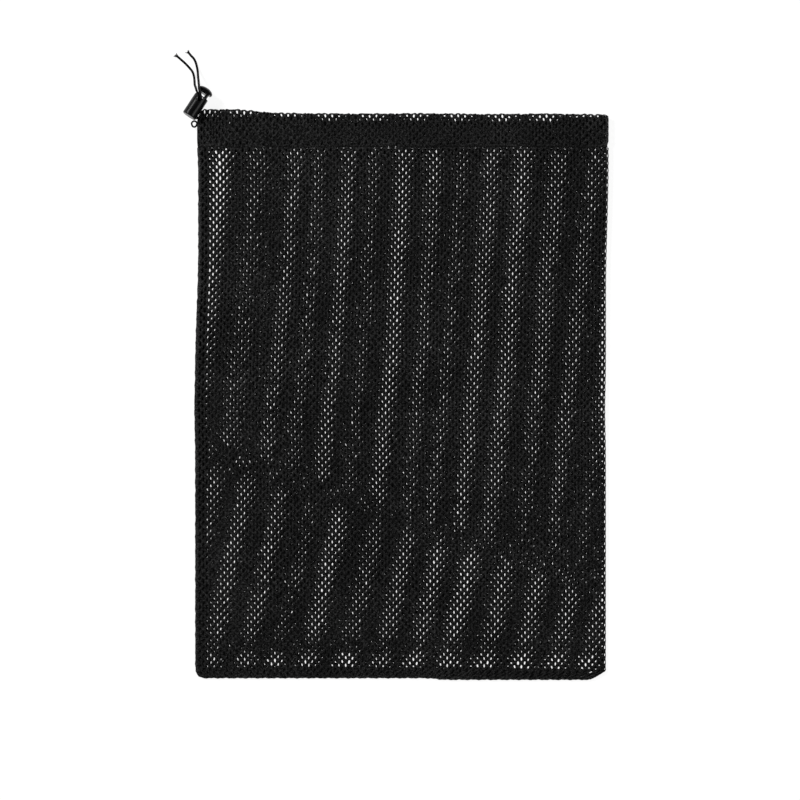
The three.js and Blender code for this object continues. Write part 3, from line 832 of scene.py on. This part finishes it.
front = cloth("front_mesh", [perforated(front_rows, place_front, BODY_U, BODY_V, off_seams)])
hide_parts("front_panel")
back = cloth("back_mesh", [perforated(back_rows, place_back, BODY_U, BODY_V, off_seams)])
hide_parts("back_panel")
FOLD_U = (PANEL_RIGHT, PANEL_RIGHT + FOLD_COLUMNS * COLUMN)
side_fold = cloth("side_fold_mesh", [perforated(front_rows, place_side_fold, FOLD_U, BODY_V)])
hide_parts("side_fold")
edges = cloth("seam_edge_mesh", [
    perforated(front_rows, place_front, BODY_U, BODY_V, in_seams),
    perforated(back_rows, place_back, BODY_U, BODY_V, in_seams),
])

ALLOWANCE_HOLE = (HOLE[0] * 0.8, HOLE[1] * 0.8)  # the cut edges are drawn together
ALLOWANCE_INSET = 1 * MM
ALLOWANCE_PLIES = ((0.27, 1), (0.68, -1))  # shift of the rows and side of the middle, for each ply
PLY_APART = 0.55 * CLOTH


def allowance_rows(shift):
    """Rows like the upper layer's, moved up by a share of the pitch."""
    def rows(u, k, v):
        return front_rows(u, k, v) + shift * PITCH

    return rows


def place_allowance(level):
    """One ply of an allowance: level is 1 above the middle and -1 below it."""
    def place(u, v):
        x, y = outline(u, v)
        return x, y, seam_middle(x, y) + level * PLY_APART

    return place


def allowance(name, node, u_range, v_range):
    """The two plies of a seam allowance, inside the bag."""
    parts = [
        perforated(allowance_rows(shift), place_allowance(level), u_range, v_range, hole=ALLOWANCE_HOLE)
        for shift, level in ALLOWANCE_PLIES
    ]
    piece = cloth(name, parts)
    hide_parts(node)


allowance(
    "side_allowance_mesh", "side_seam_allowance", (LEFT + ALLOWANCE_INSET, SEAM_X), (SEAM_Y, PANEL_TOP)
)
allowance(
    "bottom_allowance_mesh", "bottom_seam_allowance", (LEFT + ALLOWANCE_INSET, bottom_high.x),
    (BOTTOM + ALLOWANCE_INSET, SEAM_Y),
)

# ---------- hem ----------

HEM_FOLD = (CASING_THICKNESS - CLOTH) / 2  # half the distance between the two plies
HEM_HEIGHT = TOP - HEM_FOLD - PLY - CASING_Y
HEM_MIDDLE_Z = (FRONT_CASING_Z + CASING_THICKNESS) / 2
HEM_TURN_X = hem_end_high.x - HEM_MIDDLE_Z
HEM_TURN_RADIUS = HEM_MIDDLE_Z - PLY
HEM_TURN = math.pi * HEM_TURN_RADIUS
HEM_LENGTH = 2 * (HEM_TURN_X - LEFT) + HEM_TURN
PINCH = 6 * MM  # how far above the stitching the casing is full
CORD_SAG = 5 * MM  # how far the cord and the rear edge of the mouth hang below the front edge
REAR_SAG_X = (-100 * MM, -60 * MM, 120 * MM, 160 * MM)  # the rear edge goes down and comes up again
REAR_DROP = 1.5 * MM  # how much lower the rear edge is all along
PULL = 3.8 * MM  # how much the cord pulls the hem's left corner up
PULL_X = (-150 * MM, -100 * MM)
LEFT_RISE = 0.9 * MM  # how much higher the left half of the hem is
LEFT_RISE_X = (-100 * MM, 20 * MM)
TOP_WANDER = 0.3 * MM
TOP_WAVE = 19 * MM


def hem_top(x, behind):
    """How much higher than usual the hem's top edge is: pulled up at the cord, a little lower behind."""
    corner = PULL * (1 - smoothstep(*PULL_X, x)) + LEFT_RISE * (1 - smoothstep(*LEFT_RISE_X, x))
    wander = TOP_WANDER * np.sin(x / TOP_WAVE + 0.6) + bumps(x)
    sagging = smoothstep(*REAR_SAG_X[:2], x) * (1 - smoothstep(*REAR_SAG_X[2:], x))
    return (corner + wander) * (1 - behind) - (REAR_DROP + CORD_SAG * sagging) * behind


def hem_profile(x, s, behind):
    """Height up the hem and depth from its outer face. The place s runs up, over and down inside."""
    straight = HEM_HEIGHT + hem_top(x, behind)
    turn = math.pi * HEM_FOLD
    over = np.clip((s - HEM_HEIGHT) / HEM_FOLD, 0, math.pi)
    outer = np.minimum(s, HEM_HEIGHT)
    inner = np.maximum(0, s - HEM_HEIGHT - turn)
    up = straight * (outer - inner) / HEM_HEIGHT + HEM_FOLD * np.sin(over)
    full = smoothstep(0, PINCH, up)
    share = (1 - np.cos(over)) / 2
    near = (1 - behind) * (FRONT_CASING_Z + CASING_THICKNESS - PLY - side_height(PANEL_TOP) - PLY)
    outer_depth = near * (1 - full)
    inner_depth = 2 * HEM_FOLD * full + (near + CLOTH) * (1 - full)
    return up, outer_depth + (inner_depth - outer_depth) * share


LOCK_CLEARANCE = 276 * MM  # from the origin to the line that the hem keeps off, beside the lock
HEM_SIDE_FADE = 25 * MM  # how far from its ends the hem follows the bag's sides
INNER_SHIFT = (4 * MM, 12 * MM)  # past the top edge, the inner ply's columns move aside from here to here
TURN_FADE = 10 * MM
HEM_CUT = 1 * MM  # how much shorter the inner ply is


def casing_left(y):
    """The hem's left corner is cut back beside the lock."""
    return np.maximum(LEFT, (LOCK_PLAN.x * y - LOCK_CLEARANCE) / LOCK_PLAN.y)


def place_hem(u, v):
    """One ring of cloth: along the front of the mouth, round the right end and back behind."""
    run = np.clip(u - HEM_TURN_X, 0, HEM_TURN)
    turn = run / HEM_TURN_RADIUS
    behind = run / HEM_TURN
    beyond = np.maximum(0, u - HEM_TURN_X - HEM_TURN)
    x = np.minimum(u, HEM_TURN_X) - beyond
    up, depth = hem_profile(x, v - CASING_Y, behind)
    y = CASING_Y + up
    lifted = MOUTH_RISE * open_at(x) * (1 - behind)
    radius = HEM_TURN_RADIUS - depth
    left_sway, right_sway = sway(PANEL_TOP)
    cut = np.maximum(casing_left(np.minimum(y, TOP)) - LEFT, left_sway)
    side = cut * (1 - smoothstep(LEFT, LEFT + HEM_SIDE_FADE, x))
    side = side + right_sway * smoothstep(RIGHT - HEM_SIDE_FADE, RIGHT, x)
    inner = smoothstep(*INNER_SHIFT, v - CASING_Y - HEM_HEIGHT)
    aside = inner * COLUMN / 2 * (1 - smoothstep(HEM_TURN_X - TURN_FADE, HEM_TURN_X, x))
    return x + side + aside + radius * np.sin(turn), y, HEM_MIDDLE_Z + radius * np.cos(turn) + lifted


HEM_V = (CASING_Y - PLY, CASING_Y + 2 * HEM_HEIGHT + math.pi * HEM_FOLD - HEM_CUT)
hem = cloth("hem_mesh", [perforated(front_rows, place_hem, (LEFT, LEFT + HEM_LENGTH), HEM_V)])
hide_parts("front_casing", "back_casing", "casing_fold")

# ---------- stitching ----------

THREAD = 0.5 * MM
STITCH = 3 * MM
STITCH_SPAN = (0.06, 0.94)  # the share of a stitch's length that its thread takes
SEAM_POINTS = 60
HEM_POINTS = 90


def stitches(name, node, line):
    """A row of separate stitches that dip into the cloth at both ends."""
    line, _ = evenly(line, STITCH)
    parts = []
    for a, b in zip(line, line[1:]):
        t = np.linspace(*STITCH_SPAN, 7)[:, None]
        arch = np.sin(math.pi * t[:, 0])
        path = a + (b - a) * t
        path[:, 2] += THREAD * 0.35 * (arch - 0.6)
        parts.append(tube(path, THREAD / 2 * (0.75 + 0.25 * arch), 6))
    piece = mesh_object(name, *joined(parts), THREAD_LOOK)
    ride(piece, "bag", "thread", node)


def line_of(x, y, z):
    """Points of a line from its coordinates, any of which may be one number."""
    x, y, z = np.broadcast_arrays(x, y, z)
    return np.stack([x, y, z], 1)


def along_side():
    y = np.linspace(SEAM_Y, PANEL_TOP, SEAM_POINTS)
    x, _ = outline(np.full(SEAM_POINTS, LEFT), y)
    return line_of(x, y, seam_middle(x, y))


def along_bottom():
    x = np.linspace(bottom_low.x, bottom_high.x, SEAM_POINTS)
    y = np.full(SEAM_POINTS, BOTTOM + THREAD / 4)
    return line_of(x, y, seam_middle(x, y))


def along_hem(height):
    x = np.linspace(LEFT + 2 * MM, FOLD_END_X, HEM_POINTS)
    y = np.full(HEM_POINTS, (PANEL_TOP + CASING_Y) / 2)
    return line_of(x, y, height(x, y))


stitches("side_stitching", "side_seam_stitching", along_side())
stitches("bottom_stitching", "bottom_seam_stitching", along_bottom())
stitches("front_hem_stitches", "front_hem_stitching", along_hem(lambda x, y: front_middle(x, y) + PLY))
stitches("back_hem_stitches", "back_hem_stitching", along_hem(lambda x, y: 2 * CLOTH))

# ---------- drawcord inside the casing ----------

SAG_RUN = 30 * MM  # the cord comes down to its sag within this length
TURN_APPROACH = 8 * MM  # the front run is level with the turn this far before it
OUTLET_GAP = 0.9 * MM  # between the feeds' ends and the casing's left end


def casing_cord():
    """The front run, the turn in the folded end and the back run."""
    back_y = CORD_Y - CORD_SAG
    xs = np.linspace(MOUTH_X[0], FOLD_END_X - CORD_GAP, 60)
    sag = CORD_Y - CORD_SAG * smoothstep(MOUTH_X[0], MOUTH_X[0] + SAG_RUN, xs)
    drift = sag + (TURN_Y - back_y) * smoothstep(MOUTH_X[2], FOLD_END_X - TURN_APPROACH, xs)
    front_line = line_of(xs, drift, FRONT_CORD_Z + MOUTH_RISE * open_at(xs))
    back_line = line_of(xs, sag, BACK_CORD_Z)
    arm = np.array([0, (back_y - TURN_Y) / 2, (BACK_CORD_Z - FRONT_CORD_Z) / 2])
    middle = np.array([FOLD_END_X, (back_y + TURN_Y) / 2, (BACK_CORD_Z + FRONT_CORD_Z) / 2])
    angle = np.linspace(0, math.pi, 14)[:, None]
    turn_line = middle - arm * np.cos(angle) + np.array([np.linalg.norm(arm), 0, 0]) * np.sin(angle)
    for name, line in (("front_run", front_line), ("turn", turn_line), ("back_run", back_line)):
        piece = braid(f"drawcord_{name}_braid", line, *COARSE_BRAID)
        ride(piece, "bag", "cord", f"drawcord_{name}")


def feed_cord(side, z):
    """A straight length inside the casing that comes out when the lock is pulled."""
    outlet = float(casing_left(CORD_Y)) + OUTLET_GAP
    line = np.array([(MOUTH_X[0] - CORD_GAP, CORD_Y, z), (outlet, CORD_Y, z)])
    piece = braid(f"drawcord_{side}_feed_braid", line, *COARSE_BRAID)
    ride(piece, "cord_lock", "cord", f"drawcord_{side}_feed")


casing_cord()
feed_cord("back", BACK_CORD_Z)
feed_cord("front", FRONT_CORD_Z)

# ---------- loose yarn at the corner ----------

LOOP_CENTRE = at(-178.4, 234.2, 3.2)
LOOP_HALF = (2.3 * MM, 2.5 * MM)  # half its width and height in plan
LOOP_TILT = 0.5 * MM
LOOP_CLIMB = 0.1 * MM  # for each radian, so that its ends pass each other
LOOP_YARN = 0.78 * MM


def yarn_loop():
    """A small open loop of yarn that has worked loose at the top of the left edge."""
    angle = np.linspace(0.2, 2 * math.pi + 0.5, 40)
    x = LOOP_CENTRE.x + LOOP_HALF[0] * np.cos(angle) * (1 + 0.05 * np.sin(3 * angle))
    y = LOOP_CENTRE.y + LOOP_HALF[1] * np.sin(angle)
    z = LOOP_CENTRE.z + LOOP_TILT * np.sin(angle + 1) + LOOP_CLIMB * angle
    piece = mesh_object("yarn_loop", *tube(line_of(x, y, z), LOOP_YARN, 10), THREAD_LOOK)
    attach(piece, "bag")


yarn_loop()

# ---------- cord lock ----------

for name in ("lock_barrel", "lock_plunger"):
    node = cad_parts[name]
    node.data.materials.clear()
    node.data.materials.append(PLASTIC_LOOK)

# The spring, with its lengths in millimetres, as at_lock takes them
SPRING_RADIUS = 3.9
SPRING_TURNS = 4.5
SPRING_POINTS = 160
WIRE = 0.7
SPRING_ENDS = (1.9, 10.2)  # along the barrel, between its floor and the plunger


def spring_coil():
    """The steel spring, a coil of wire between the barrel's floor and the plunger."""
    share = np.linspace(0, 1, SPRING_POINTS)
    low, high = SPRING_ENDS[0] + WIRE / 2, SPRING_ENDS[1] - WIRE / 2
    angle = 2 * math.pi * SPRING_TURNS * share
    line = np.array([
        at_lock(low + (high - low) * t, SPRING_RADIUS * math.sin(a), SPRING_RADIUS * math.cos(a))
        for t, a in zip(share, angle)
    ])
    coil = mesh_object("lock_spring_coil", *tube(line, WIRE / 2 * MM, 10), STEEL_LOOK)
    ride(coil, "cord_lock", "steel", "lock_spring")
    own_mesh(coil)


spring_coil()

# ---------- table, light and view ----------


def make_floor():
    """A white table that glows, so that it stays white under soft light."""
    half = 6
    data = bpy.data.meshes.new("floor")
    corners = [(-half, -half, 0), (half, -half, 0), (half, half, 0), (-half, half, 0)]
    data.from_pydata(corners, [], [(0, 1, 2, 3)])
    nodes = Nodes("white_table")
    nodes.set(Base_Color=(0.25, 0.25, 0.25, 1), Roughness=0.8, Specular_IOR_Level=0.1)
    nodes.set(Emission_Color=(1, 1, 1, 1), Emission_Strength=0.9)
    data.materials.append(nodes.material)
    link("floor", data)


def soft_light(name, place, size, power):
    """A round lamp that points at the middle of the bag."""
    data = bpy.data.lights.new(name, "AREA")
    data.shape = "DISK"
    data.size = size
    data.energy = power
    lamp = link(name, data)
    lamp.location = place
    lamp.rotation_euler = (-Vector(place)).to_track_quat("-Z", "Y").to_euler()


def make_world():
    """Even white light from all sides."""
    world = bpy.data.worlds.new("room")
    world.use_nodes = True
    background = world.node_tree.nodes["Background"]
    background.inputs["Color"].default_value = (1, 1, 1, 1)
    background.inputs["Strength"].default_value = 0.08
    bpy.context.scene.world = world


make_floor()
make_world()
soft_light("key", (-1.3, 1.1, 1.3), 0.5, 26)
soft_light("fill", (1.4, -0.4, 1.2), 0.9, 8)
bpy.context.scene.view_settings.view_transform = "Standard"
